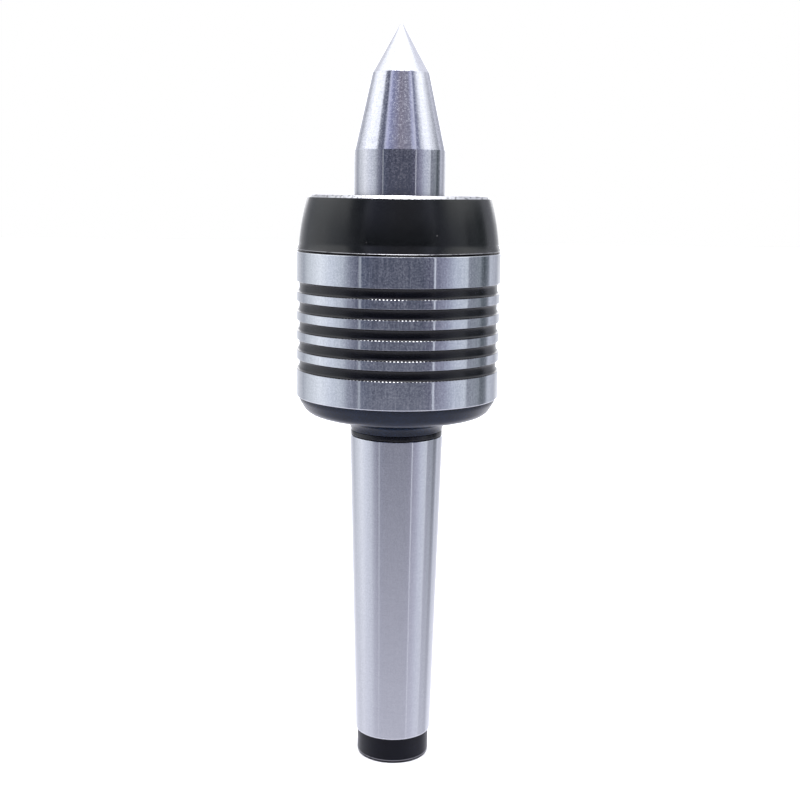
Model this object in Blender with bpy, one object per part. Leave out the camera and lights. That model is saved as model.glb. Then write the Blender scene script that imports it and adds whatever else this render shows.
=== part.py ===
"""A live center for a lathe tailstock, Morse taper 3, with its bearings.

It stands on the end of its shank. The axis is Z, from the shank's end (z = 0) up to the 60 degree point.

  housing   one forging: Morse taper shank, neck and grooved bearing housing
  spindle   one turned piece: point, nose, front bearing seat, thrust seat and rear journal
  front     deep groove ball bearing, 20 x 42 x 12
  middle    thrust ball bearing, 17 x 35 x 12, which carries the work's push
  rear      caged needle bearing on a 10 mm journal
  cap       screws into the housing over a wave washer, and holds the shaft seal
"""

import math

import bmesh
import bpy
from mathutils import Matrix, Vector

MM = 0.001
GAP = 0.3 * MM              # between pieces that touch
RUN_GAP = 0.25 * MM         # around a ball or an O-ring, with room for the flat sides

# Shank: Morse taper 3
SPIGOT_R = 9.5 * MM
SPIGOT_TOP = 6.4 * MM
SPIGOT_CHAMFER = 0.2 * MM
TAPER_START = 6.9 * MM
TAPER_END = 87.25 * MM
TAPER_GAUGE_Z = 81.0 * MM
TAPER_GAUGE_R = 23.825 / 2 * MM
TAPER_SLOPE = 0.05020 / 2   # growth of the radius along the axis
RIM_CHAMFER = 0.35 * MM
CENTRE_HOLE_R = 3.35 * MM
CENTRE_PILOT_R = 1.575 * MM
CENTRE_PILOT_DEPTH = 6.5 * MM

# Neck and rear shoulder of the housing
NECK_R = 11.9 * MM
NECK_TOP = 88.9 * MM
NECK_FILLET = 2.7 * MM
SHOULDER_Z = 91.95 * MM
SHOULDER_R = 15.0 * MM
BELLY_R = 25.2 * MM
BELLY_TOP = 97.25 * MM
BELLY_FULLNESS = 2.25       # exponent of the belly's curve: 2 is an ellipse, more is fuller

# Bearing housing
HOUSING_R = 26.05 * MM
GROUND_START = 97.85 * MM
HOUSING_TOP = 134.75 * MM
HOUSING_CHAMFER = 0.2 * MM
GROOVE_COUNT = 5
GROOVE_FIRST = 106.18 * MM
GROOVE_PITCH = 4.905 * MM
GROOVE_WIDTH = 2.68 * MM
GROOVE_DEPTH = 0.72 * MM

# Bores of the housing, from the mouth down
THREAD_R = 23.0 * MM
THREAD_END = 130.9 * MM
FRONT_BORE_R = 21.0 * MM + GAP
FRONT_LEDGE = 117.7 * MM
THRUST_BORE_R = 17.5 * MM + GAP
THRUST_LEDGE = 102.7 * MM
NEEDLE_BORE_R = 8.0 * MM + GAP
NEEDLE_LEDGE = 88.9 * MM
RELIEF_R = 6.2 * MM
RELIEF_END = 84.5 * MM
DRILL_TIP = 82.0 * MM

# Spindle
TIP_Z = 191.3 * MM
TIP_FLAT_R = 0.25 * MM
POINT_HALF_ANGLE = math.radians(30)
POINT_R = 7.2 * MM
NOSE_R = 11.5 * MM
NOSE_TOP = 159.9 * MM
SHOULDER_FRONT = 130.3 * MM
FRONT_SEAT_R = 10.0 * MM
THRUST_SHOULDER = 115.3 * MM
THRUST_SEAT_R = 8.5 * MM
JOURNAL_TOP = 103.2 * MM
JOURNAL_R = 5.0 * MM
SPINDLE_END = 86.6 * MM
CLIP_GROOVE = (116.5 * MM, 117.9 * MM)
CLIP_GROOVE_R = 9.3 * MM

# Front ball bearing, 20 x 42 x 12
FRONT_Z = 124.0 * MM
FRONT_HALF = 6.0 * MM
FRONT_PITCH_R = 15.5 * MM
FRONT_BALL_R = 3.175 * MM
FRONT_BALLS = 9
FRONT_LANDS = (13.6 * MM, 17.4 * MM)
FRONT_OD_R = 21.0 * MM

# Thrust ball bearing, 17 x 35 x 12
THRUST_Z = 109.0 * MM
THRUST_HALF = 6.0 * MM
THRUST_PITCH_R = 13.0 * MM
THRUST_BALL_R = 2.75 * MM
THRUST_BALLS = 11
THRUST_FACE = 2.4 * MM      # from the balls' plane to a washer's face
THRUST_OD_R = 17.5 * MM

# Needle bearing, 10 x 16 x 12
NEEDLE_Z = 95.3 * MM
NEEDLE_HALF = 6.0 * MM
NEEDLE_PITCH_R = 6.0 * MM
NEEDLE_R = 0.9 * MM
NEEDLE_HALF_LENGTH = 4.2 * MM
NEEDLES = 12
CUP_TRACK_R = 7.0 * MM
CUP_OD_R = 8.0 * MM
CUP_LIP_R = 6.3 * MM

# Front cap, seal and washer
CAP_FOOT_R = 26.0 * MM
CAP_BOTTOM = 135.05 * MM
CAP_FOOT_TOP = 135.4 * MM
CAP_R = 25.35 * MM
CAP_CROWN_START = 136.7 * MM
CAP_CROWN_RADIUS = 60.0 * MM
CAP_CROWN_LEAN = (5, 16)    # degrees from upright at the crown's foot and at its top
CAP_EDGE = 0.65 * MM
CAP_TOP = 148.85 * MM
CAP_THREAD_R = THREAD_R - GAP
CAP_SPIGOT_END = 131.9 * MM
CAP_BORE_R = 17.5 * MM + GAP
SEAL_LEDGE = 144.6 * MM
CAP_HOLE_R = 12.0 * MM
PIN_HOLE_R = 1.75 * MM
PIN_HOLE_DEPTH = 3.5 * MM
PIN_HOLE_PITCH_R = 16.2 * MM
PIN_HOLES = 4
ORING_Z = 133.5 * MM
ORING_R = 22.05 * MM
ORING_WIRE_R = 0.7 * MM
SEAL_BOTTOM = 138.3 * MM
SEAL_TOP = SEAL_LEDGE - GAP
SEAL_OD_R = 17.5 * MM
SEAL_SHEET = 0.6 * MM
WAVE_Z = 130.95 * MM
WAVE_HEIGHT = 0.28 * MM
WAVE_COUNT = 4
CLIP_R = 11.7 * MM
CLIP_HALF_OPENING = math.radians(14)

FINE = 36                   # sides of a turned outer piece
COARSE = 28                 # sides of a turned inner piece


def clear_scene():
    for existing in list(bpy.data.objects):
        bpy.data.objects.remove(existing, do_unlink=True)


def material(name, color, roughness, metallic):
    made = bpy.data.materials.get(name) or bpy.data.materials.new(name)
    made.use_nodes = True
    shader = made.node_tree.nodes["Principled BSDF"]
    shader.inputs["Base Color"].default_value = (*color, 1.0)
    shader.inputs["Roughness"].default_value = roughness
    shader.inputs["Metallic"].default_value = metallic
    return made


def ground_steel():
    return material("ground_steel", (0.62, 0.63, 0.68), 0.22, 1.0)


def black_oxide():
    return material("black_oxide", (0.02, 0.021, 0.024), 0.35, 0.6)


def bearing_steel():
    return material("bearing_steel", (0.60, 0.60, 0.62), 0.18, 1.0)


def brass():
    return material("cage_brass", (0.72, 0.55, 0.25), 0.35, 1.0)


def rubber():
    return material("seal_rubber", (0.03, 0.03, 0.03), 0.6, 0.0)


def add_object(name, mesh, surface):
    mesh.materials.clear()
    mesh.materials.append(surface)
    mesh.shade_smooth()
    mesh.set_sharp_from_angle(angle=math.radians(30))
    piece = bpy.data.objects.new(name, mesh)
    bpy.context.collection.objects.link(piece)
    return piece


def mesh_from(name, bm):
    bmesh.ops.recalc_face_normals(bm, faces=bm.faces)
    mesh = bpy.data.meshes.new(name)
    bm.to_mesh(mesh)
    bm.free()
    return mesh


def turned(name, outline, surface, sides=COARSE):
    """A solid of revolution about Z. The outline is a list of (radius, height). A ring's outline is a
    closed loop, and a full solid's starts and ends on the axis."""
    bm = bmesh.new()
    corners = [bm.verts.new((radius, 0.0, height)) for radius, height in outline]
    edges = [bm.edges.new(pair) for pair in zip(corners, corners[1:])]
    if outline[0][0] > 0.0:
        edges.append(bm.edges.new((corners[-1], corners[0])))
    bmesh.ops.spin(
        bm,
        geom=corners + edges,
        cent=(0.0, 0.0, 0.0),
        axis=(0.0, 0.0, 1.0),
        angle=math.tau,
        steps=sides,
        use_merge=True,
    )
    bmesh.ops.remove_doubles(bm, verts=bm.verts, dist=0.001 * MM)
    return add_object(name, mesh_from(name, bm), surface)


def arc(centre, radius, start, end, steps):
    """Points on a circle in the (radius, height) plane, with angles in degrees from the radial direction."""
    points = []
    for step in range(steps + 1):
        angle = math.radians(start + (end - start) * step / steps)
        points.append((centre[0] + radius * math.cos(angle), centre[1] + radius * math.sin(angle)))
    return points


def ring_outline(inner, outer, low, high, chamfer):
    """A rectangular ring section with four chamfered corners."""
    return [
        (inner, low + chamfer),
        (inner + chamfer, low),
        (outer - chamfer, low),
        (outer, low + chamfer),
        (outer, high - chamfer),
        (outer - chamfer, high),
        (inner + chamfer, high),
        (inner, high - chamfer),
    ]


def around(count):
    return [math.tau * index / count for index in range(count)]


def taper_radius(height):
    return TAPER_GAUGE_R + (height - TAPER_GAUGE_Z) * TAPER_SLOPE


def centre_hole_outline():
    cone_depth = (CENTRE_HOLE_R - CENTRE_PILOT_R) / math.tan(math.radians(30))
    tip_depth = CENTRE_PILOT_R * math.tan(math.radians(31))
    return [
        (0.0, CENTRE_PILOT_DEPTH + tip_depth),
        (CENTRE_PILOT_R, CENTRE_PILOT_DEPTH),
        (CENTRE_PILOT_R, cone_depth),
        (CENTRE_HOLE_R, 0.0),
    ]


def shank_outline():
    return [
        (SPIGOT_R - SPIGOT_CHAMFER, 0.0),
        (SPIGOT_R, SPIGOT_CHAMFER),
        (SPIGOT_R, SPIGOT_TOP),
        (taper_radius(TAPER_START), TAPER_START),
        (taper_radius(TAPER_END - RIM_CHAMFER), TAPER_END - RIM_CHAMFER),
        (NECK_R, TAPER_END),
    ]


def shoulder_outline():
    """From the neck: a hollow fillet, a short face, and the convex belly up to the ground surface."""
    outline = arc((NECK_R + NECK_FILLET, NECK_TOP), NECK_FILLET, 180, 90, 3)
    wide = BELLY_R - SHOULDER_R
    high = BELLY_TOP - SHOULDER_Z
    belly_steps = 5
    power = 2 / BELLY_FULLNESS
    for step in range(belly_steps + 1):
        angle = math.radians(90 * step / belly_steps)
        across = math.sin(angle) ** power
        down = abs(math.cos(angle)) ** power
        outline.append((SHOULDER_R + wide * across, BELLY_TOP - high * down))
    outline.append((HOUSING_R, GROUND_START))
    return outline


def grooved_outline():
    """The ground cylinder with its round-bottomed grooves, up to the chamfered mouth."""
    half = GROOVE_WIDTH / 2
    radius = (half * half + GROOVE_DEPTH * GROOVE_DEPTH) / (2 * GROOVE_DEPTH)
    half_angle = math.degrees(math.asin(half / radius))
    outline = []
    for index in range(GROOVE_COUNT):
        middle = GROOVE_FIRST + index * GROOVE_PITCH
        centre = (HOUSING_R - GROOVE_DEPTH + radius, middle)
        outline += arc(centre, radius, 180 + half_angle, 180 - half_angle, 3)
    outline.append((HOUSING_R, HOUSING_TOP - HOUSING_CHAMFER))
    outline.append((HOUSING_R - HOUSING_CHAMFER / 2, HOUSING_TOP))
    return outline


def bore_outline():
    return [
        (THREAD_R + RIM_CHAMFER, HOUSING_TOP),
        (THREAD_R, HOUSING_TOP - RIM_CHAMFER),
        (THREAD_R, THREAD_END),
        (FRONT_BORE_R, THREAD_END),
        (FRONT_BORE_R, FRONT_LEDGE),
        (THRUST_BORE_R, FRONT_LEDGE),
        (THRUST_BORE_R, THRUST_LEDGE),
        (NEEDLE_BORE_R, THRUST_LEDGE),
        (NEEDLE_BORE_R, NEEDLE_LEDGE),
        (RELIEF_R, NEEDLE_LEDGE),
        (RELIEF_R, RELIEF_END),
        (0.0, DRILL_TIP),
    ]


def make_housing():
    outline = centre_hole_outline()
    outline += shank_outline()
    outline += shoulder_outline()
    outline += grooved_outline()
    outline += bore_outline()
    return turned("housing", outline, ground_steel(), FINE)


def make_spindle():
    end_chamfer = 0.6 * MM
    point_base = TIP_Z - POINT_R / math.tan(POINT_HALF_ANGLE)
    tip_flat = TIP_Z - TIP_FLAT_R / math.tan(POINT_HALF_ANGLE)
    outline = [
        (0.0, SPINDLE_END),
        (JOURNAL_R - end_chamfer, SPINDLE_END),
        (JOURNAL_R, SPINDLE_END + end_chamfer),
        (JOURNAL_R, JOURNAL_TOP),
        (THRUST_SEAT_R, JOURNAL_TOP),
        (THRUST_SEAT_R, THRUST_SHOULDER),
        (FRONT_SEAT_R, THRUST_SHOULDER),
        (FRONT_SEAT_R, CLIP_GROOVE[0]),
        (CLIP_GROOVE_R, CLIP_GROOVE[0]),
        (CLIP_GROOVE_R, CLIP_GROOVE[1]),
        (FRONT_SEAT_R, CLIP_GROOVE[1]),
        (FRONT_SEAT_R, SHOULDER_FRONT),
        (NOSE_R - RIM_CHAMFER, SHOULDER_FRONT),
        (NOSE_R, SHOULDER_FRONT + RIM_CHAMFER),
        (NOSE_R, NOSE_TOP),
        (POINT_R, point_base),
        (TIP_FLAT_R, tip_flat),
        (0.0, tip_flat),
    ]
    return turned("spindle", outline, ground_steel(), FINE)


def cap_crown_outline():
    """The cap's convex side: an arc that leans in a little more towards the top."""
    start, end = CAP_CROWN_LEAN
    centre_r = CAP_R - CAP_CROWN_RADIUS * math.cos(math.radians(start))
    centre_z = CAP_CROWN_START - CAP_CROWN_RADIUS * math.sin(math.radians(start))
    return arc((centre_r, centre_z), CAP_CROWN_RADIUS, start, end, 5)


def make_cap():
    edge = 0.5 * MM
    groove_low = ORING_Z - ORING_WIRE_R - RUN_GAP
    groove_high = ORING_Z + ORING_WIRE_R + RUN_GAP
    groove_r = ORING_R - ORING_WIRE_R - RUN_GAP
    outline = [
        (CAP_THREAD_R - edge, CAP_SPIGOT_END),
        (CAP_THREAD_R, CAP_SPIGOT_END + edge),
        (CAP_THREAD_R, groove_low),
        (groove_r, groove_low),
        (groove_r, groove_high),
        (CAP_THREAD_R, groove_high),
        (CAP_THREAD_R, CAP_BOTTOM),
        (CAP_FOOT_R, CAP_BOTTOM),
        (CAP_FOOT_R, CAP_FOOT_TOP),
    ]
    outline += cap_crown_outline()
    outline += [
        (outline[-1][0] - CAP_EDGE, CAP_TOP),
        (CAP_HOLE_R + edge, CAP_TOP),
        (CAP_HOLE_R, CAP_TOP - edge),
        (CAP_HOLE_R, SEAL_LEDGE),
        (CAP_BORE_R, SEAL_LEDGE),
        (CAP_BORE_R, CAP_SPIGOT_END),
    ]
    cap = turned("front_cap", outline, black_oxide(), FINE)
    cutters = []
    for index, angle in enumerate(around(PIN_HOLES)):
        cutters.append(rod_cutter(f"pin_hole_{index}", PIN_HOLE_R, 2 * PIN_HOLE_DEPTH, 12, angle + 0.4))
        cutters[-1].location = (
            PIN_HOLE_PITCH_R * math.cos(angle),
            PIN_HOLE_PITCH_R * math.sin(angle),
            CAP_TOP,
        )
    cut(cap, cutters)
    return cap


def rod_cutter(name, radius, length, sides, turn=0.0):
    """An upright round rod centred on its origin, used only to cut."""
    bm = bmesh.new()
    bmesh.ops.create_cone(
        bm,
        cap_ends=True,
        segments=sides,
        radius1=radius,
        radius2=radius,
        depth=length,
        matrix=Matrix.Rotation(turn, 4, "Z"),
    )
    return as_cutter(name, bm)


def box_cutter(name, size):
    bm = bmesh.new()
    bmesh.ops.create_cube(bm, size=1.0, matrix=Matrix.Diagonal((*size, 1.0)))
    return as_cutter(name, bm)


def as_cutter(name, bm):
    cutter = bpy.data.objects.new(name, mesh_from(name, bm))
    bpy.context.collection.objects.link(cutter)
    cutter.hide_render = True
    cutter.display_type = "WIRE"
    return cutter


def cut(piece, cutters):
    for cutter in cutters:
        modifier = piece.modifiers.new(cutter.name, "BOOLEAN")
        modifier.operation = "DIFFERENCE"
        modifier.solver = "EXACT"
        modifier.object = cutter


def track_arc(centre, ball_r, away, face, steps=4):
    """The raceway's arc around a ball's centre. away is the track's direction in degrees, and face is the
    distance from the ball's centre to the land that the track is cut into."""
    radius = ball_r + RUN_GAP
    half = math.degrees(math.acos(face / radius))
    return arc(centre, radius, away - half, away + half, steps)


def make_front_bearing():
    low = FRONT_Z - FRONT_HALF
    high = FRONT_Z + FRONT_HALF
    chamfer = 0.5 * MM
    bore = FRONT_SEAT_R + GAP
    inner_land, outer_land = FRONT_LANDS
    centre = (FRONT_PITCH_R, FRONT_Z)
    inner = [
        (bore, low + chamfer),
        (bore + chamfer, low),
        (inner_land, low),
    ]
    inner += reversed(track_arc(centre, FRONT_BALL_R, 180, FRONT_PITCH_R - inner_land))
    inner += [
        (inner_land, high),
        (bore + chamfer, high),
        (bore, high - chamfer),
    ]
    turned("front_inner_ring", inner, bearing_steel())
    outer = [
        (FRONT_OD_R, high - chamfer),
        (FRONT_OD_R - chamfer, high),
        (outer_land, high),
    ]
    outer += reversed(track_arc(centre, FRONT_BALL_R, 0, outer_land - FRONT_PITCH_R))
    outer += [
        (outer_land, low),
        (FRONT_OD_R - chamfer, low),
        (FRONT_OD_R, low + chamfer),
    ]
    turned("front_outer_ring", outer, bearing_steel())
    cage_half_width = 1.2 * MM
    cage_half_height = 4.3 * MM
    cage = turned(
        "front_cage",
        ring_outline(
            FRONT_PITCH_R - cage_half_width,
            FRONT_PITCH_R + cage_half_width,
            FRONT_Z - cage_half_height,
            FRONT_Z + cage_half_height,
            0.25 * MM,
        ),
        brass(),
    )
    pockets = []
    for index, angle in enumerate(around(FRONT_BALLS)):
        pocket = rod_cutter(f"front_pocket_{index}", FRONT_BALL_R + GAP, 6 * MM, 12)
        lay_radially(pocket, angle, FRONT_PITCH_R, FRONT_Z)
        pockets.append(pocket)
    cut(cage, pockets)
    add_balls("front_ball", FRONT_BALLS, FRONT_BALL_R, FRONT_PITCH_R, FRONT_Z)


def lay_radially(piece, angle, radius, height):
    """Places a piece on a circle about Z, with the piece's own Z pointing outwards."""
    outward = Vector((math.cos(angle), math.sin(angle), 0.0))
    piece.rotation_euler = outward.to_track_quat("Z", "Y").to_euler()
    piece.location = outward * radius + Vector((0.0, 0.0, height))


def add_balls(name, count, radius, pitch_radius, height):
    bm = bmesh.new()
    bmesh.ops.create_uvsphere(bm, u_segments=10, v_segments=6, radius=radius)
    mesh = mesh_from(name, bm)
    for index, angle in enumerate(around(count)):
        ball = add_object(f"{name}_{index + 1:02d}", mesh, bearing_steel())
        ball.rotation_euler = (0.0, 0.0, angle)
        ball.location = (pitch_radius * math.cos(angle), pitch_radius * math.sin(angle), height)


def make_thrust_bearing():
    low = THRUST_Z - THRUST_HALF
    high = THRUST_Z + THRUST_HALF
    chamfer = 0.4 * MM
    housing_bore = THRUST_SEAT_R + 1.0 * MM
    shaft_bore = THRUST_SEAT_R + GAP
    shaft_od = THRUST_OD_R - 0.2 * MM
    centre = (THRUST_PITCH_R, THRUST_Z)
    lower_face = THRUST_Z - THRUST_FACE
    lower = [
        (housing_bore, lower_face),
        (housing_bore, low),
        (THRUST_OD_R - chamfer, low),
        (THRUST_OD_R, low + chamfer),
        (THRUST_OD_R, lower_face),
    ]
    lower += reversed(track_arc(centre, THRUST_BALL_R, 270, THRUST_FACE))
    turned("thrust_housing_washer", lower, bearing_steel())
    upper_face = THRUST_Z + THRUST_FACE
    upper = [
        (shaft_od, upper_face),
        (shaft_od, high - chamfer),
        (shaft_od - chamfer, high),
        (shaft_bore, high),
        (shaft_bore, upper_face),
    ]
    upper += reversed(track_arc(centre, THRUST_BALL_R, 90, THRUST_FACE))
    turned("thrust_shaft_washer", upper, bearing_steel())
    cage = turned(
        "thrust_cage",
        ring_outline(9.6 * MM, 16.5 * MM, THRUST_Z - 1.2 * MM, THRUST_Z + 1.2 * MM, 0.25 * MM),
        brass(),
    )
    pockets = []
    for index, angle in enumerate(around(THRUST_BALLS)):
        pocket = rod_cutter(f"thrust_pocket_{index}", THRUST_BALL_R + GAP, 4 * MM, 12, angle)
        pocket.location = (THRUST_PITCH_R * math.cos(angle), THRUST_PITCH_R * math.sin(angle), THRUST_Z)
        pockets.append(pocket)
    cut(cage, pockets)
    add_balls("thrust_ball", THRUST_BALLS, THRUST_BALL_R, THRUST_PITCH_R, THRUST_Z)


def make_needle_bearing():
    low = NEEDLE_Z - NEEDLE_HALF
    high = NEEDLE_Z + NEEDLE_HALF
    wall = 0.9 * MM
    cup = [
        (CUP_OD_R, high - 0.4 * MM),
        (CUP_OD_R - 0.4 * MM, high),
        (CUP_LIP_R, high),
        (CUP_LIP_R, high - wall),
        (CUP_TRACK_R, high - wall),
        (CUP_TRACK_R, low + wall),
        (CUP_LIP_R, low + wall),
        (CUP_LIP_R, low),
        (CUP_OD_R - 0.4 * MM, low),
        (CUP_OD_R, low + 0.4 * MM),
    ]
    turned("needle_cup", cup, bearing_steel())
    cage_half_width = 0.4 * MM
    cage_half_height = NEEDLE_HALF_LENGTH + 0.6 * MM
    cage = turned(
        "needle_cage",
        ring_outline(
            NEEDLE_PITCH_R - cage_half_width,
            NEEDLE_PITCH_R + cage_half_width,
            NEEDLE_Z - cage_half_height,
            NEEDLE_Z + cage_half_height,
            0.1 * MM,
        ),
        bearing_steel(),
    )
    slot_size = (2 * (NEEDLE_HALF_LENGTH + 0.1 * MM), 2 * (NEEDLE_R + 0.1 * MM), 4 * MM)
    slots = []
    for index, angle in enumerate(around(NEEDLES)):
        slot = box_cutter(f"needle_slot_{index}", slot_size)
        outward = Vector((math.cos(angle), math.sin(angle), 0.0))
        slot.rotation_euler = upright_frame(outward).to_euler()
        slot.location = outward * NEEDLE_PITCH_R + Vector((0.0, 0.0, NEEDLE_Z))
        slots.append(slot)
    cut(cage, slots)
    add_needles()


def upright_frame(outward):
    """A rotation with X along the bearing's axis and Z pointing outwards."""
    up = Vector((0.0, 0.0, 1.0))
    side = outward.cross(up)
    return Matrix((up, side, outward)).transposed()


def add_needles():
    end_r = NEEDLE_R - 0.25 * MM
    crown = 0.25 * MM
    outline = [
        (0.0, -NEEDLE_HALF_LENGTH),
        (end_r, -NEEDLE_HALF_LENGTH),
        (NEEDLE_R, crown - NEEDLE_HALF_LENGTH),
        (NEEDLE_R, NEEDLE_HALF_LENGTH - crown),
        (end_r, NEEDLE_HALF_LENGTH),
        (0.0, NEEDLE_HALF_LENGTH),
    ]
    for index, angle in enumerate(around(NEEDLES)):
        needle = turned(f"needle_{index + 1:02d}", outline, bearing_steel(), 10)
        needle.rotation_euler = (0.0, 0.0, angle)
        needle.location = (NEEDLE_PITCH_R * math.cos(angle), NEEDLE_PITCH_R * math.sin(angle), NEEDLE_Z)


def make_circlip():
    """A flat open ring in the spindle's groove, just behind the front bearing's inner ring."""
    steps = 26
    low = CLIP_GROOVE[0] + 0.2 * MM
    high = CLIP_GROOVE[1] - 0.2 * MM
    inner = CLIP_GROOVE_R + 0.2 * MM
    bm = bmesh.new()
    rings = []
    for step in range(steps + 1):
        angle = CLIP_HALF_OPENING + (math.tau - 2 * CLIP_HALF_OPENING) * step / steps
        across = (math.cos(angle), math.sin(angle))
        section = []
        for radius, height in ((inner, low), (CLIP_R, low), (CLIP_R, high), (inner, high)):
            section.append(bm.verts.new((radius * across[0], radius * across[1], height)))
        rings.append(section)
    for here, there in zip(rings, rings[1:]):
        for side in range(4):
            after = (side + 1) % 4
            bm.faces.new((here[side], here[after], there[after], there[side]))
    bm.faces.new(rings[0])
    bm.faces.new(rings[-1])
    add_object("spindle_circlip", mesh_from("spindle_circlip", bm), bearing_steel())


def make_wave_washer():
    """A thin spring ring that waves up and down between the front bearing and the cap."""
    sheet = 0.4 * MM
    sides = 40
    bm = bmesh.new()
    rings = []
    for angle in around(sides):
        middle = WAVE_Z + WAVE_HEIGHT * math.sin(WAVE_COUNT * angle)
        across = (math.cos(angle), math.sin(angle))
        section = []
        for radius, lift in ((18.2 * MM, -1), (20.7 * MM, -1), (20.7 * MM, 1), (18.2 * MM, 1)):
            height = middle + lift * sheet / 2
            section.append(bm.verts.new((radius * across[0], radius * across[1], height)))
        rings.append(section)
    for here, there in zip(rings, rings[1:] + rings[:1]):
        for side in range(4):
            after = (side + 1) % 4
            bm.faces.new((here[side], here[after], there[after], there[side]))
    add_object("preload_wave_washer", mesh_from("preload_wave_washer", bm), bearing_steel())


def make_seals():
    flange_inner = 13.5 * MM
    case = [
        (SEAL_OD_R, SEAL_TOP),
        (flange_inner, SEAL_TOP),
        (flange_inner, SEAL_TOP - SEAL_SHEET),
        (SEAL_OD_R - SEAL_SHEET, SEAL_TOP - SEAL_SHEET),
        (SEAL_OD_R - SEAL_SHEET, SEAL_BOTTOM),
        (SEAL_OD_R, SEAL_BOTTOM),
    ]
    turned("seal_case", case, bearing_steel())
    under = SEAL_TOP - SEAL_SHEET - GAP
    lip_r = NOSE_R + 0.15 * MM
    lip = [
        (16.6 * MM, under),
        (13.2 * MM, under),
        (13.2 * MM, 144.1 * MM),
        (lip_r, 144.2 * MM),
        (12.3 * MM, 143.1 * MM),
        (12.6 * MM, 142.0 * MM),
        (12.3 * MM, 141.0 * MM),
        (lip_r, 140.2 * MM),
        (12.1 * MM, 139.0 * MM),
        (13.6 * MM, 139.0 * MM),
        (13.6 * MM, 139.3 * MM),
        (12.85 * MM, 139.7 * MM),
        (12.85 * MM, 140.9 * MM),
        (13.5 * MM, 141.5 * MM),
        (13.5 * MM, under - 0.8 * MM),
        (16.6 * MM, under - 0.8 * MM),
    ]
    turned("seal_lip", lip, rubber())
    turned("seal_garter_spring", arc((13.75 * MM, 140.35 * MM), 0.6 * MM, 0, 300, 5), bearing_steel())
    turned("cap_o_ring", arc((ORING_R, ORING_Z), ORING_WIRE_R, 0, 300, 5), rubber())


clear_scene()
make_housing()
make_spindle()
make_cap()
make_front_bearing()
make_thrust_bearing()
make_needle_bearing()
make_circlip()
make_wave_washer()
make_seals()
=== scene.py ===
"""The looks of a Morse taper live center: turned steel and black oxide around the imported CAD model.

Everything is in metres in the CAD model's frame. The axis is Z, and z = 0 is the end of the shank.
Outlines are written in millimetres, as (radius, height).
"""

import math

import bmesh
import bpy
from mathutils import Matrix, Vector


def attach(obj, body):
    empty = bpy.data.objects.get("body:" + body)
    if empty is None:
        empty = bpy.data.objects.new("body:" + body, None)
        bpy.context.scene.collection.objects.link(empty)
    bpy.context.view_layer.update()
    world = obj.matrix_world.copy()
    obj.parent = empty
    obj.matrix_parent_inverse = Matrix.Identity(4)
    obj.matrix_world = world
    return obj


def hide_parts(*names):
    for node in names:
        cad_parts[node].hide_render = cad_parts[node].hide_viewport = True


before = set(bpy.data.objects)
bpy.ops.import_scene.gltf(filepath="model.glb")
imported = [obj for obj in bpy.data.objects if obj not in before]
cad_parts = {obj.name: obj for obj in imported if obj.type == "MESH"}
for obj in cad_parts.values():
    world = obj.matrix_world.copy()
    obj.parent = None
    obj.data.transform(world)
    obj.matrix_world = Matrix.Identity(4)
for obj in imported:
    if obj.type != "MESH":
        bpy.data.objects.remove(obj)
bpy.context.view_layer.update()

MM = 0.001
BEVEL_STEPS = 4
SIDES = 240                 # sides of a turned outer piece
INNER_SIDES = 144           # sides of a turned inner piece

# Camera, in the object's own frame
CAMERA_AT = (0.82 * MM, -325.4 * MM, 151.34 * MM)
CAMERA_PITCH = math.radians(-9.62)
CAMERA_ROLL = math.radians(0.77)
CAMERA_LENS = 57.1

# Housing, spindle and cap
GAUGE_R = 23.825 / 2        # Morse taper 3 at its gauge plane
GAUGE_Z = 81.0
TAPER = 0.0502              # the shank's change in diameter for each millimetre of height
HOUSING_R = 26.05
HOUSING_TOP = 134.75
GROOVES = 5
GROOVE_FIRST_Z = 106.18
GROOVE_SPACING = 4.905
GROOVE_WIDTH = 2.68
GROOVE_DEPTH = 0.72
GROOVE_LIP = 0.10           # chamfer along the lower lip
CAP_R = 25.35
CAP_CROWN_Z = 136.7         # where the crown starts, above the cap's foot
CAP_CROWN_RADIUS = 60.0
CAP_CROWN_LEAN = (5, 16)    # degrees from upright, at the crown's foot and at the rim
CAP_RIM = 0.65              # chamfer around the top face
CAP_TOP = 148.85
PIN_HOLES = 4
PIN_HOLE_R = 1.75
PIN_HOLE_AT_R = 16.2
NOSE_R = 11.5
NOSE_TOP = 159.9
POINT_R = 7.2
POINT_HALF_ANGLE = math.radians(30)
TIP_Z = 191.3               # where the point's sides would meet

# Bearings
FRONT_Z = 124.0
FRONT_PITCH_R = 15.5
FRONT_BALL_R = 3.175
FRONT_BALLS = 9
FRONT_INNER_LAND_R = 13.6
FRONT_OUTER_LAND_R = 17.4
THRUST_Z = 109.0
THRUST_PITCH_R = 13.0
THRUST_BALL_R = 2.75
THRUST_BALLS = 11
THRUST_FACE = 2.4           # from the balls' plane to each washer's face
NEEDLE_Z = 95.3
NEEDLE_PITCH_R = 6.0
NEEDLE_R = 0.9
NEEDLE_HALF_LENGTH = 4.2
NEEDLES = 12
BEARING_HALF_WIDTH = 6.0    # the same for all three bearings
TRACK_PLAY = 0.06           # between a ball and its track


# ---------------------------------------------------------------- turned outlines


def corner(radius, height, finish, bevel=0.0, edge=None):
    """One corner of an outline, in millimetres. finish is the surface that runs on from this corner, and
    edge the surface of the corner's own small rounding."""
    return {
        "at": Vector((radius, height)),
        "finish": finish,
        "bevel": bevel,
        "edge": edge or finish,
    }


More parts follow.
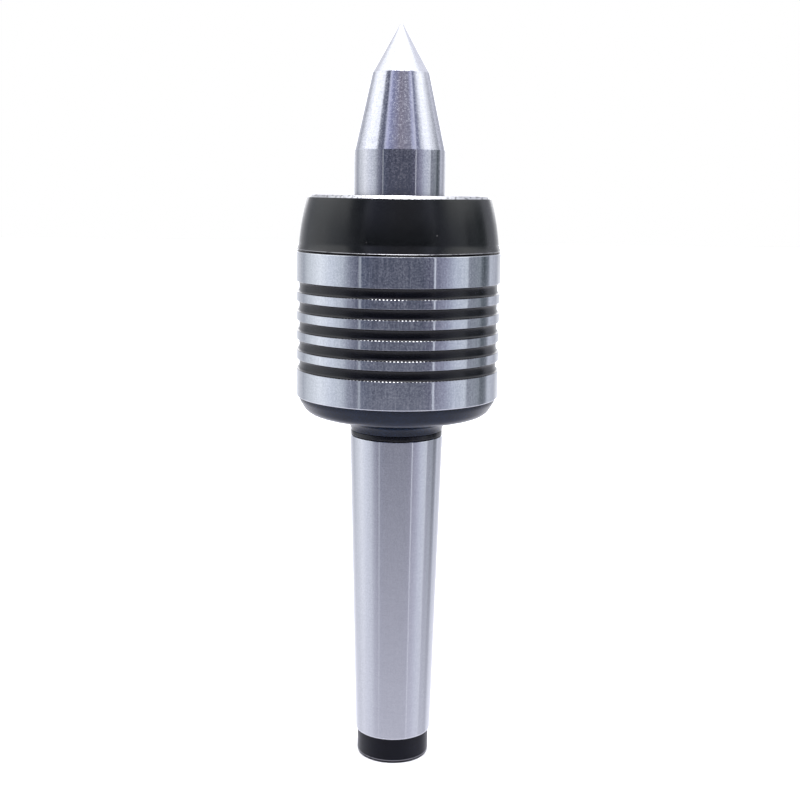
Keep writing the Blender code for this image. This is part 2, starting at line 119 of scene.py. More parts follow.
def rounded(corners, closed):
    """Samples an outline: a list of (point, finish of the stretch that follows)."""
    samples = []
    last = len(corners) - 1
    for index, here in enumerate(corners):
        at_end = not closed and index in (0, last)
        if here["bevel"] == 0.0 or at_end:
            samples.append((here["at"].copy(), here["finish"]))
            continue
        before = corners[index - 1]["at"]
        after = corners[(index + 1) % len(corners)]["at"]
        into = (before - here["at"]).normalized() * here["bevel"]
        out = (after - here["at"]).normalized() * here["bevel"]
        for step in range(BEVEL_STEPS + 1):
            t = step / BEVEL_STEPS
            point = here["at"] + into * (1 - t) ** 2 + out * t**2
            finish = here["finish"] if step == BEVEL_STEPS else here["edge"]
            samples.append((point, finish))
    return samples


def turned_mesh(name, corners, closed, sides=SIDES):
    """A mesh turned about Z from an outline in millimetres, with one material index for each finish."""
    samples = rounded(corners, closed)
    finishes = list(dict.fromkeys(finish for _, finish in samples))
    points = []
    rows = []
    for point, _ in samples:
        radius, height = point.x * MM, point.y * MM
        if radius < 1e-7:
            rows.append([len(points)] * sides)
            points.append((0.0, 0.0, height))
            continue
        rows.append(list(range(len(points), len(points) + sides)))
        for step in range(sides):
            angle = math.tau * step / sides
            points.append((radius * math.cos(angle), radius * math.sin(angle), height))
    faces = []
    indices = []
    stretches = len(rows) if closed else len(rows) - 1
    for index in range(stretches):
        low, high = rows[index], rows[(index + 1) % len(rows)]
        finish_index = finishes.index(samples[index][1])
        for step in range(sides):
            after = (step + 1) % sides
            ring = (low[step], low[after], high[after], high[step])
            faces.append(tuple(dict.fromkeys(ring)))
            indices.append(finish_index)
    mesh = bpy.data.meshes.new(name)
    mesh.from_pydata(points, [], faces)
    mesh.polygons.foreach_set("material_index", indices)
    mesh.update()
    return mesh, finishes


def finish_smooth(piece, angle=32):
    """Smooth shading that keeps every edge sharper than the angle, in degrees."""
    piece.data.shade_smooth()
    piece.data.set_sharp_from_angle(angle=math.radians(angle))
    weighted = piece.modifiers.new("weighted_normals", "WEIGHTED_NORMAL")
    weighted.mode = "FACE_AREA"
    weighted.weight = 50
    weighted.keep_sharp = True


def add_piece(name, mesh, body, nodes):
    """Adds a piece that moves with the body and stands in for the CAD nodes."""
    piece = bpy.data.objects.new(name, mesh)
    bpy.context.collection.objects.link(piece)
    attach(piece, body)
    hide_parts(*nodes)
    return piece


def turned(name, corners, body, nodes, closed=False, sides=SIDES):
    """Adds a turned piece. The outline is closed for a ring, and open if both its ends lie on the axis."""
    mesh, finishes = turned_mesh(name, corners, closed, sides)
    for finish in finishes:
        mesh.materials.append(finish_named(finish))
    piece = add_piece(name, mesh, body, nodes)
    finish_smooth(piece)
    return piece


def arc_corners(centre, radius, start, end, steps, finish):
    """Corners along a circle, with angles in degrees from the radial direction. No rounding."""
    made = []
    for step in range(steps + 1):
        angle = math.radians(start + (end - start) * step / steps)
        made.append(
            corner(centre[0] + radius * math.cos(angle), centre[1] + radius * math.sin(angle), finish)
        )
    return made


# ---------------------------------------------------------------- material nodes


def add(tree, kind, inputs=None, **settings):
    """Adds a node. inputs maps a socket's name or number to a value or to another node's output."""
    made = tree.nodes.new(kind)
    for key, value in settings.items():
        setattr(made, key, value)
    for key, value in (inputs or {}).items():
        if isinstance(value, bpy.types.NodeSocket):
            tree.links.new(value, made.inputs[key])
        else:
            made.inputs[key].default_value = value
    return made


def math_of(tree, operation, first, second=0.0):
    return add(tree, "ShaderNodeMath", {0: first, 1: second}, operation=operation).outputs[0]


def times(tree, first, second):
    return math_of(tree, "MULTIPLY", first, second)


def plus(tree, first, second):
    return math_of(tree, "ADD", first, second)


def mapped(tree, value, low, high, to_low=0.0, to_high=1.0, smooth=False):
    """Maps low..high to to_low..to_high, and clamps what lies outside."""
    made = add(
        tree,
        "ShaderNodeMapRange",
        {"Value": value, "From Min": low, "From Max": high, "To Min": to_low, "To Max": to_high},
        interpolation_type="SMOOTHSTEP" if smooth else "LINEAR",
    )
    return made.outputs["Result"]


def mixed(tree, factor, first, second):
    """Mixes two colours. The colour sockets of a Mix node are its numbers 6 and 7, and output 2."""
    made = add(tree, "ShaderNodeMix", data_type="RGBA")
    for key, value in ((0, factor), (6, first), (7, second)):
        if isinstance(value, bpy.types.NodeSocket):
            tree.links.new(value, made.inputs[key])
        else:
            made.inputs[key].default_value = value
    return made.outputs[2]


def new_material(name, **sockets):
    """A Principled material. A socket given here is constant all over the surface."""
    made = bpy.data.materials.new(name)
    made.use_nodes = True
    tree = made.node_tree
    shader = tree.nodes["Principled BSDF"]
    for key, value in sockets.items():
        shader.inputs[key.replace("_", " ")].default_value = value
    return made, tree, shader


def place_of(tree):
    """The place on the piece, in metres."""
    return add(tree, "ShaderNodeTexCoord").outputs["Object"]


def ring_coordinates(tree, around_scale, across_scale):
    """Coordinates that stretch a texture into rings about Z: slow around the axis, fast across the rings.
    Scales are in cells per metre."""
    place = place_of(tree)
    split = add(tree, "ShaderNodeSeparateXYZ", {0: place})
    flat = add(tree, "ShaderNodeCombineXYZ", {0: split.outputs[0], 1: split.outputs[1]})
    radius = add(tree, "ShaderNodeVectorMath", {0: flat.outputs[0]}, operation="LENGTH").outputs["Value"]
    across = plus(tree, split.outputs[2], times(tree, radius, 0.9))
    scaled = (
        times(tree, split.outputs[0], around_scale),
        times(tree, split.outputs[1], around_scale),
        times(tree, across, across_scale),
    )
    return add(tree, "ShaderNodeCombineXYZ", dict(enumerate(scaled))).outputs[0]


def noise(tree, vector, scale=1.0, detail=2.0, roughness=0.5):
    return add(
        tree,
        "ShaderNodeTexNoise",
        {"Vector": vector, "Scale": scale, "Detail": detail, "Roughness": roughness},
    ).outputs["Fac"]


def bumped(tree, shader, height, depth):
    """Feeds a relief of the given depth in metres to the shader."""
    bump = add(tree, "ShaderNodeBump", {"Height": height, "Distance": depth, "Strength": 1.0})
    tree.links.new(bump.outputs[0], shader.inputs["Normal"])


def ring_tangent(tree, shader):
    tangent = add(tree, "ShaderNodeTangent", direction_type="RADIAL", axis="Z")
    tree.links.new(tangent.outputs[0], shader.inputs["Tangent"])


# ---------------------------------------------------------------- materials


def ground_steel(name, tone, dark_tone, roughness, rings=1.0, chatter=0.0, speckle=0.0):
    """Cylindrically ground steel. Its grinding marks run around the axis, so that it blurs reflections
    along the axis and keeps them sharp around it. rings is the depth of the marks, chatter the strength
    of the faint upright ripples that the wheel leaves, and speckle how much the roughness varies in the
    grain of the surface."""
    made, tree, shader = new_material(name, Metallic=1.0, Anisotropic=1.0, Anisotropic_Rotation=0.25)
    ring_tangent(tree, shader)
    fine = noise(tree, ring_coordinates(tree, 260.0, 4200.0), roughness=0.7)
    bands = noise(tree, ring_coordinates(tree, 60.0, 900.0), detail=3.0, roughness=0.6)
    upright = noise(tree, ring_coordinates(tree, 2100.0, 150.0), roughness=0.6)
    place = place_of(tree)
    cloud = noise(tree, place, scale=260.0, detail=3.0)
    grain = noise(tree, place, scale=2300.0, detail=1.0)
    mark = plus(tree, times(tree, fine, 0.25), times(tree, grain, 0.5))
    mark = plus(tree, mark, times(tree, upright, 0.25))
    shade = mapped(tree, mark, 0.38, 0.62)
    tree.links.new(mixed(tree, shade, (*dark_tone, 1.0), (*tone, 1.0)), shader.inputs["Base Color"])
    rough = plus(tree, times(tree, bands, 0.5), times(tree, cloud, 0.5))
    rough = mapped(tree, rough, 0.3, 0.7, *roughness)
    rough = plus(tree, rough, mapped(tree, upright, 0.3, 0.7, -chatter, chatter))
    rough = plus(tree, rough, mapped(tree, grain, 0.35, 0.65, -speckle / 2, speckle))
    tree.links.new(rough, shader.inputs["Roughness"])
    bumped(tree, shader, fine, 0.0000016 * rings)
    return made


def painted_glint_edge(name, tone, dark_tone, around, dots, patch_scale):
    """A small edge with glints painted into its colour: bright spots of metal with nearly black gaps between
    them, which the lamp above lights as glints. The spots follow a wave around the axis, broken up by noise.
    around is the number of waves in a turn. dots is 1 where the painted glints stand apart, and less where
    the noise runs them together; at 0 the noise alone paints bright patches with dark specks. The last
    argument is the scale of that noise."""
    made, tree, shader = new_material(name, Metallic=1.0, Roughness=0.22)
    place = place_of(tree)
    split = add(tree, "ShaderNodeSeparateXYZ", {0: place})
    turn = math_of(tree, "ARCTAN2", split.outputs[1], split.outputs[0])
    # Painted glints: a wave of bright spots around the edge, broken up by noise, mixed into the base colour
    # below
    glint_wave = math_of(tree, "SINE", times(tree, turn, around))
    patchy = noise(tree, place, scale=patch_scale, detail=1.0)
    glint = plus(tree, times(tree, glint_wave, dots), mapped(tree, patchy, 0.35, 0.65, -0.45, 0.45))
    shade = mapped(tree, glint, dots - 0.65, dots - 0.1)
    tree.links.new(mixed(tree, shade, (*dark_tone, 1.0), (*tone, 1.0)), shader.inputs["Base Color"])
    return made


def black_oxide(name, tone, roughness, marks, specks=0.0, ior=1.38):
    """Black oxide on turned steel: a dark skin with faint tool rings and, if asked for, pale specks."""
    made, tree, shader = new_material(name, Metallic=0.0, IOR=ior)
    rings = noise(tree, ring_coordinates(tree, 40.0, 2600.0), detail=3.0, roughness=0.65)
    upright = noise(tree, ring_coordinates(tree, 700.0, 60.0))
    place = place_of(tree)
    cloud = noise(tree, place, scale=180.0, detail=4.0)
    grit = noise(tree, place, scale=2400.0, detail=1.0)
    worn = plus(tree, times(tree, cloud, 0.6), times(tree, grit, 0.4))
    dark = tuple(0.6 * level for level in tone)
    color = mixed(tree, mapped(tree, worn, 0.35, 0.65), (*dark, 1.0), (*tone, 1.0))
    if specks:
        dots = add(tree, "ShaderNodeTexVoronoi", {"Vector": place, "Scale": 330.0}, feature="F1")
        dot = mapped(tree, dots.outputs["Distance"], 0.035, 0.06, 1.0, 0.0)
        rare = mapped(tree, noise(tree, place, scale=150.0, detail=0.0), 0.56, 0.62)
        amount = times(tree, times(tree, dot, rare), specks)
        color = mixed(tree, amount, color, (0.30, 0.29, 0.28, 1.0))
    tree.links.new(color, shader.inputs["Base Color"])
    rough = plus(tree, times(tree, rings, 0.6), times(tree, upright, 0.4))
    tree.links.new(mapped(tree, rough, 0.3, 0.7, *roughness), shader.inputs["Roughness"])
    relief = plus(tree, rings, times(tree, grit, 0.8))
    bumped(tree, shader, relief, marks)
    return made


def cast_brass(name):
    """Machined cage brass: a warm yellow with tool rings and slightly tarnished clouds."""
    made, tree, shader = new_material(name, Metallic=1.0)
    rings = noise(tree, ring_coordinates(tree, 120.0, 3200.0), roughness=0.6)
    cloud = noise(tree, place_of(tree), scale=420.0, detail=4.0)
    worn = plus(tree, times(tree, rings, 0.4), times(tree, cloud, 0.6))
    color = mixed(tree, mapped(tree, worn, 0.35, 0.65), (0.50, 0.34, 0.13, 1.0), (0.78, 0.60, 0.28, 1.0))
    tree.links.new(color, shader.inputs["Base Color"])
    tree.links.new(mapped(tree, worn, 0.3, 0.7, 0.28, 0.46), shader.inputs["Roughness"])
    bumped(tree, shader, rings, 0.0000030)
    return made


def polished_steel(name, tone, roughness, scratches):
    """Hardened and lapped bearing steel, with hair-fine scratches all ways and a thin film of oil."""
    made, tree, shader = new_material(name, Metallic=1.0, Coat_Weight=0.25, Coat_Roughness=0.08)
    place = place_of(tree)
    hair = noise(tree, place, scale=5200.0, detail=3.0, roughness=0.8)
    cloud = noise(tree, place, scale=500.0, detail=3.0)
    dark = tuple(0.86 * level for level in tone)
    color = mixed(tree, mapped(tree, cloud, 0.35, 0.65), (*dark, 1.0), (*tone, 1.0))
    tree.links.new(color, shader.inputs["Base Color"])
    tree.links.new(mapped(tree, cloud, 0.3, 0.7, *roughness), shader.inputs["Roughness"])
    bumped(tree, shader, hair, scratches)
    return made


def seal_rubber(name, tone):
    """Moulded nitrile rubber: dark and dull, with a fine moulding grain."""
    made, tree, shader = new_material(name, IOR=1.5)
    place = place_of(tree)
    grain = noise(tree, place, scale=3600.0, detail=3.0, roughness=0.7)
    bloom = noise(tree, place, scale=300.0, detail=4.0)
    pale = tuple(1.8 * level for level in tone)
    color = mixed(tree, mapped(tree, bloom, 0.4, 0.7), (*tone, 1.0), (*pale, 1.0))
    tree.links.new(color, shader.inputs["Base Color"])
    tree.links.new(mapped(tree, grain, 0.3, 0.7, 0.48, 0.68), shader.inputs["Roughness"])
    bumped(tree, shader, grain, 0.0000060)
    return made


# Each finish is built the first time a piece asks for it. Colours are linear, the pair of numbers after
# them is the range of the roughness, and a relief is in metres.
FINISHES = {
    "ground": lambda: ground_steel(
        "ground_steel", (0.645, 0.672, 0.712), (0.54, 0.565, 0.61), (0.10, 0.15), chatter=0.03, speckle=0.04
    ),
    "shank": lambda: ground_steel(
        "shank_steel", (0.65, 0.665, 0.705), (0.59, 0.605, 0.645), (0.13, 0.17), chatter=0.01, speckle=0.02
    ),
    "nose": lambda: ground_steel(
        "nose_steel", (0.66, 0.665, 0.705), (0.53, 0.535, 0.58), (0.11, 0.15), chatter=0.02, speckle=0.05
    ),
    "point": lambda: ground_steel(
        "point_steel", (0.72, 0.73, 0.78), (0.50, 0.505, 0.555), (0.07, 0.10), chatter=0.02, speckle=0.10
    ),
    # A lighter copy of the ground steel on small edge roundings: painted edge highlights
    "edge": lambda: ground_steel(
        "edge_steel_painted_highlight", (0.78, 0.80, 0.84), (0.68, 0.70, 0.75), (0.14, 0.2), rings=0.4
    ),
    # Painted glints along the lands' upper edges: bright dots and nearly black gaps in the colour
    "dots": lambda: painted_glint_edge(
        "land_edge_painted_glints", (0.30, 0.30, 0.31), (0.004, 0.004, 0.005), around=180.0, dots=1.0, patch_scale=260.0
    ),
    # The cap's top chamfer: bright metal with dark specks, partly rubbed wear and partly a painted highlight
    "worn": lambda: painted_glint_edge(
        "worn_edge_and_painted_highlight", (0.50, 0.50, 0.52), (0.015, 0.015, 0.016), around=200.0, dots=0.0, patch_scale=1300.0
    ),
    # A painted highlight line: a lighter metal band on the cap's foot and on the spigot's lower rounding
    "foot": lambda: painted_glint_edge(
        "foot_edge_painted_highlight", (0.24, 0.24, 0.25), (0.04, 0.04, 0.05), around=200.0, dots=0.0, patch_scale=700.0
    ),
    "turned": lambda: ground_steel(
        "turned_steel", (0.50, 0.50, 0.52), (0.36, 0.36, 0.39), (0.28, 0.40), rings=2.5
    ),
    "groove": lambda: black_oxide(
        "groove_black", (0.0020, 0.0022, 0.0045), (0.14, 0.24), 0.0000014, ior=1.42
    ),
    "black": lambda: black_oxide(
        "shoulder_black", (0.0030, 0.0070, 0.0180), (0.16, 0.26), 0.0000018, ior=1.36
    ),
    "spigot": lambda: black_oxide(
        "spigot_black", (0.0015, 0.0022, 0.0080), (0.26, 0.40), 0.0000030, ior=1.34
    ),
    "cap": lambda: black_oxide(
        "cap_black", (0.0045, 0.0052, 0.0054), (0.13, 0.24), 0.0000012, specks=0.7, ior=1.43
    ),
    "race": lambda: polished_steel("race_steel", (0.64, 0.64, 0.66), (0.14, 0.24), 0.0000004),
    "track": lambda: polished_steel("track_steel", (0.72, 0.72, 0.74), (0.05, 0.11), 0.0000001),
    "ball": lambda: polished_steel("ball_steel", (0.74, 0.74, 0.76), (0.03, 0.07), 0.0000001),
    "spring": lambda: polished_steel("spring_steel", (0.42, 0.41, 0.40), (0.22, 0.34), 0.0000006),
    "brass": lambda: cast_brass("cage_brass"),
    "rubber": lambda: seal_rubber("nitrile_rubber", (0.012, 0.012, 0.013)),
}
MADE = {}


def finish_named(name):
    """The finish's material, built the first time it is asked for."""
    if name not in MADE:
        MADE[name] = FINISHES[name]()
    return MADE[name]


# ---------------------------------------------------------------- outer pieces


def taper_radius(height):
    return GAUGE_R + (height - GAUGE_Z) * TAPER / 2


def full_curve(steps, fullness):
    """A quarter of a superellipse, as (across, down) from (0, 1) to (1, 0). Fullness 2 is a circle."""
    power = 2 / fullness
    angles = [math.radians(90 * step / steps) for step in range(steps + 1)]
    return [(math.sin(angle) ** power, abs(math.cos(angle)) ** power) for angle in angles]


def groove_corners(middle):
    """A groove with a full round bottom, around a height. The chamfer along its lower lip has glints painted
    into its colour, in dots, and the rounding at its upper edge has a painted highlight.
    """
    half = GROOVE_WIDTH / 2
    lip = GROOVE_LIP
    quarter = full_curve(10, 2.7)
    made = [
        # The lip's chamfer: painted glints, bright dots and nearly black gaps in its colour
        corner(HOUSING_R, middle - half - lip / 2, "dots"),
        corner(HOUSING_R - lip, middle - half + lip / 2, "groove"),
    ]
    for across, down in quarter[::-1]:
        if GROOVE_DEPTH * down > 2 * lip:
            made.append(corner(HOUSING_R - GROOVE_DEPTH * down, middle - half * across, "groove"))
    for across, down in quarter[1:]:
        made.append(corner(HOUSING_R - GROOVE_DEPTH * down, middle + half * across, "groove"))
    # The rounding at the groove's upper edge: a lighter steel, a painted edge highlight
    made[-1].update(bevel=0.05, edge="edge", finish="ground")
    return made


def housing_corners():
    """From the centre hole in the shank's end, up the outside, and down through the bore to its bottom."""
    corners = [
        corner(0.0, 7.45, "turned"),
        corner(1.575, 6.5, "turned"),
        corner(1.575, 3.07, "turned"),
        corner(3.35, 0.0, "spigot", 0.15),
        corner(9.35, 0.0, "spigot", 0.10),
        # The spigot's lower rounding: a lighter metal line, a painted highlight
        corner(9.5, 0.7, "spigot", 0.12, "foot"),
        corner(9.5, 6.4, "spigot", 0.08),
        # The roundings on finish edge are a lighter steel: painted edge highlights
        corner(taper_radius(6.9), 6.9, "shank", 0.22, "edge"),
        corner(taper_radius(87.25), 87.25, "groove", 0.18, "edge"),
        corner(11.75, 87.4, "groove", 0.05),
        corner(11.9, 87.7, "groove", 0.05),
        corner(11.9, 88.6, "groove", 0.10),
        corner(11.7, 88.75, "groove"),
    ]
    corners += arc_corners((15.55, 87.95), 3.8, 168, 95, 12, "black")
    corners += [
        corner(20.15, 92.55, "black", 1.7),
        corner(23.4, 93.55, "black", 1.6),
        corner(25.35, 96.85, "black", 0.6),
        corner(25.47, 97.6, "black", 0.08),
        # The land's lower rounding: a lighter steel, a painted edge highlight
        corner(HOUSING_R, 97.85, "ground", 0.16, "edge"),
    ]
    for index in range(GROOVES):
        corners += groove_corners(GROOVE_FIRST_Z + GROOVE_SPACING * index)
    corners += [
        # The rounding at the housing's top: a lighter steel, a painted edge highlight
        corner(HOUSING_R, 134.5, "groove", 0.08, "edge"),
        corner(25.9, HOUSING_TOP, "groove", 0.05),
        corner(23.35, HOUSING_TOP, "turned"),
        corner(23.0, 134.4, "turned"),
        corner(23.0, 130.9, "turned"),
        corner(21.3, 130.9, "turned"),
        corner(21.3, 117.7, "turned"),
        corner(17.8, 117.7, "turned"),
        corner(17.8, 102.7, "turned"),
        corner(8.3, 102.7, "turned"),
        corner(8.3, 88.9, "turned"),
        corner(6.2, 88.9, "turned"),
        corner(6.2, 84.5, "turned"),
        corner(0.0, 82.0, "turned"),
    ]
    return corners


def spindle_corners():
    """From the rear journal up through the bearing seats to the nose and the point."""
    point_base = TIP_Z - POINT_R / math.tan(POINT_HALF_ANGLE)
    return [
        corner(0.0, 86.6, "turned"),
        corner(5.0, 86.6, "nose", 0.5),
        corner(5.0, 103.2, "turned", 0.1),
        corner(8.5, 103.2, "nose", 0.3),
        corner(8.5, 115.3, "turned", 0.1),
        corner(10.0, 115.3, "nose", 0.3),
        corner(10.0, 116.5, "turned"),
        corner(9.3, 116.5, "turned"),
        corner(9.3, 117.9, "turned"),
        corner(10.0, 117.9, "nose"),
        corner(10.0, 130.3, "turned", 0.1),
        corner(NOSE_R, 130.3, "nose", 0.3),
        corner(NOSE_R, NOSE_TOP, "point", 0.12),
        corner(POINT_R, point_base, "nose", 0.10),
        corner(0.12, 191.0, "nose"),
        corner(0.0, 191.05, "nose"),
    ]


def cap_corners():
    """From the spigot with its O-ring groove, up the foot and the crown, and down through the bore."""
    corners = [
        corner(22.2, 131.9, "cap"),
        corner(22.7, 132.4, "cap"),
        corner(22.7, 132.55, "cap"),
        corner(21.1, 132.55, "cap"),
        corner(21.1, 134.45, "cap"),
        corner(22.7, 134.45, "cap"),
        corner(22.7, 135.05, "cap"),
        corner(26.0, 135.05, "cap", 0.08),
        # The foot's upper chamfer: a lighter metal band with dark patches, a painted highlight line
        corner(26.0, 135.14, "foot"),
        corner(25.86, 135.28, "cap"),
    ]
    start, end = CAP_CROWN_LEAN
    lean = math.radians(start)
    centre = (CAP_R - CAP_CROWN_RADIUS * math.cos(lean), CAP_CROWN_Z - CAP_CROWN_RADIUS * math.sin(lean))
    corners += arc_corners(centre, CAP_CROWN_RADIUS, start, end, 16, "cap")
    rim = corners[-1]["at"].x
    # The top chamfer and its rounding: bright metal with dark specks, partly rubbed wear and partly a
    # painted highlight
    corners[-1].update(bevel=0.12, finish="worn")
    corners += [
        corner(rim - CAP_RIM, CAP_TOP, "cap", 0.25, "worn"),
        corner(12.0, CAP_TOP, "cap", 0.4),
        corner(12.0, 144.6, "cap"),
        corner(17.8, 144.6, "cap"),
        corner(17.8, 131.9, "cap"),
    ]
    return corners


# ---------------------------------------------------------------- cutting


def add_cutter(name, mesh, location, turn=None):
    """An object for a Boolean, at a place in millimetres."""
    cutter = bpy.data.objects.new(name, mesh)
    bpy.context.collection.objects.link(cutter)
    cutter.location = Vector(location) * MM
    if turn:
        cutter.rotation_euler = turn.to_euler()
    return cutter


def rod_mesh(name, radius, length, sides=32):
    """A cylinder along Z around the origin, in millimetres."""
    bm = bmesh.new()
    bmesh.ops.create_cone(
        bm, cap_ends=True, segments=sides, radius1=radius * MM, radius2=radius * MM, depth=length * MM
    )
    return mesh_of(name, bm)


def box_mesh(name, size):
    """A box around the origin, in millimetres."""
    bm = bmesh.new()
    scale = Matrix.Diagonal((*(Vector(size) * MM), 1.0))
    bmesh.ops.create_cube(bm, size=1.0, matrix=scale)
    return mesh_of(name, bm)


def mesh_of(name, bm):
    bmesh.ops.recalc_face_normals(bm, faces=bm.faces)
    mesh = bpy.data.meshes.new(name)
    bm.to_mesh(mesh)
    bm.free()
    return mesh


def cut_and_apply(piece, cutters):
    """Cuts the piece by each cutter, keeps the result as its mesh, and removes the cutters."""
    smoothing = piece.modifiers.get("weighted_normals")
    if smoothing:
        piece.modifiers.remove(smoothing)
    for cutter in cutters:
        modifier = piece.modifiers.new(cutter.name, "BOOLEAN")
        modifier.operation = "DIFFERENCE"
        modifier.solver = "EXACT"
        modifier.object = cutter
    bpy.context.view_layer.update()
    evaluated = piece.evaluated_get(bpy.context.evaluated_depsgraph_get())
    mesh = bpy.data.meshes.new_from_object(evaluated)
    mesh.name = piece.name
    piece.modifiers.clear()
    piece.data = mesh
    for cutter in cutters:
        bpy.data.objects.remove(cutter)
    finish_smooth(piece)


def around(count):
    """The angles of evenly spaced parts around the axis."""
    return [math.tau * index / count for index in range(count)]


def on_circle(angle, radius, height):
    return (radius * math.cos(angle), radius * math.sin(angle), height)


def build_cap():
    cap = turned("front_cap_fine", cap_corners(), "housing", ["front_cap"], closed=True)
    cutters = []
    for index, angle in enumerate(around(PIN_HOLES)):
        name = f"pin_hole_{index}"
        hole = rod_mesh(name, PIN_HOLE_R, 7.0)
        cutters.append(add_cutter(name, hole, on_circle(angle, PIN_HOLE_AT_R, CAP_TOP)))
    cut_and_apply(cap, cutters)


# ---------------------------------------------------------------- bearings


def ring_corners(inner, outer, low, high, bevel, finish):
    """A rectangular ring section with rounded corners, from the lower inner corner outwards."""
    return [
        corner(inner, low, finish, bevel),
        corner(outer, low, finish, bevel),
        corner(outer, high, finish, bevel),
        corner(inner, high, finish, bevel),
    ]


def inner_ring(name, corners, body):
    return turned(f"{name}_fine", corners, body, [name], closed=True, sides=INNER_SIDES)


def track_corners(centre, ball_r, away, face):
    """A raceway around a ball's centre. away is the track's direction in degrees, and face the distance
    from the ball's centre to the land that the track is cut into. The land goes on behind the track."""
    radius = ball_r + TRACK_PLAY
    half = math.degrees(math.acos(face / radius))
    made = arc_corners(centre, radius, away - half, away + half, 16, "track")[::-1]
    made[-1]["finish"] = "race"
    return made


def build_front_bearing():
    low, high = FRONT_Z - BEARING_HALF_WIDTH, FRONT_Z + BEARING_HALF_WIDTH
    bore, inner_land, outer_land, outside = 10.3, FRONT_INNER_LAND_R, FRONT_OUTER_LAND_R, 21.0
    centre = (FRONT_PITCH_R, FRONT_Z)
    inner = [corner(bore, low, "race", 0.5), corner(inner_land, low, "race", 0.25)]
    inner += track_corners(centre, FRONT_BALL_R, 180, FRONT_PITCH_R - inner_land)
    inner += [corner(inner_land, high, "race", 0.25), corner(bore, high, "race", 0.5)]
    inner_ring("front_inner_ring", inner, "spindle")
    outer = [corner(outside, high, "race", 0.5), corner(outer_land, high, "race", 0.25)]
    outer += track_corners(centre, FRONT_BALL_R, 0, outer_land - FRONT_PITCH_R)
    outer += [corner(outer_land, low, "race", 0.25), corner(outside, low, "race", 0.5)]
    inner_ring("front_outer_ring", outer, "housing")
    cage = inner_ring(
        "front_cage",
        ring_corners(FRONT_PITCH_R - 1.2, FRONT_PITCH_R + 1.2, FRONT_Z - 4.3, FRONT_Z + 4.3, 0.3, "brass"),
        "front_cage",
    )
    pockets = []
    for index, angle in enumerate(around(FRONT_BALLS)):
        name = f"front_pocket_{index}"
        outward = Vector(on_circle(angle, 1.0, 0.0))
        pocket = rod_mesh(name, FRONT_BALL_R + 0.2, 6.0, 48)
        turn = outward.to_track_quat("Z", "Y")
        pockets.append(add_cutter(name, pocket, on_circle(angle, FRONT_PITCH_R, FRONT_Z), turn))
    cut_and_apply(cage, pockets)
    add_balls("front_ball", FRONT_BALLS, FRONT_BALL_R, FRONT_PITCH_R, FRONT_Z, "front_cage")


def add_balls(name, count, radius, pitch_radius, height, body):
    """A row of balls around the axis, which go round with their cage's body."""
    for index, angle in enumerate(around(count)):
        node = f"{name}_{index + 1:02d}"
        outline = arc_corners((0.0, 0.0), radius, -90, 90, 32, "ball")
        outline[0]["at"].x = 0.0
        outline[-1]["at"].x = 0.0
        rolling_piece(node, outline, on_circle(angle, pitch_radius, height), body, 64)


def rolling_piece(node, outline, centre, body, sides):
    """A ball or a needle, turned about its own upright axis and then moved to its centre."""
    mesh, finishes = turned_mesh(f"{node}_fine", outline, False, sides)
    for finish in finishes:
        mesh.materials.append(finish_named(finish))
    mesh.transform(Matrix.Translation(Vector(centre) * MM))
    piece = add_piece(f"{node}_fine", mesh, body, [node])
    finish_smooth(piece)


def build_thrust_bearing():
    low, high = THRUST_Z - BEARING_HALF_WIDTH, THRUST_Z + BEARING_HALF_WIDTH
    centre = (THRUST_PITCH_R, THRUST_Z)
    lower = [
        corner(9.5, THRUST_Z - THRUST_FACE, "race", 0.2),
        corner(9.5, low, "race", 0.3),
        corner(17.5, low, "race", 0.4),
        corner(17.5, THRUST_Z - THRUST_FACE, "race", 0.2),
    ]
    lower += track_corners(centre, THRUST_BALL_R, 270, THRUST_FACE)
    inner_ring("thrust_housing_washer", lower, "housing")
    upper = [
        corner(17.3, THRUST_Z + THRUST_FACE, "race", 0.2),
        corner(17.3, high, "race", 0.4),
        corner(8.8, high, "race", 0.3),
        corner(8.8, THRUST_Z + THRUST_FACE, "race", 0.2),
    ]
    upper += track_corners(centre, THRUST_BALL_R, 90, THRUST_FACE)
    inner_ring("thrust_shaft_washer", upper, "spindle")
    cage = inner_ring(
        "thrust_cage",
        ring_corners(9.6, 16.5, THRUST_Z - 1.2, THRUST_Z + 1.2, 0.3, "brass"),
        "thrust_cage",
    )
    pockets = []
    for index, angle in enumerate(around(THRUST_BALLS)):
        name = f"thrust_pocket_{index}"
        pocket = rod_mesh(name, THRUST_BALL_R + 0.15, 4.0, 48)
        pockets.append(add_cutter(name, pocket, on_circle(angle, THRUST_PITCH_R, THRUST_Z)))
    cut_and_apply(cage, pockets)
    add_balls("thrust_ball", THRUST_BALLS, THRUST_BALL_R, THRUST_PITCH_R, THRUST_Z, "thrust_cage")


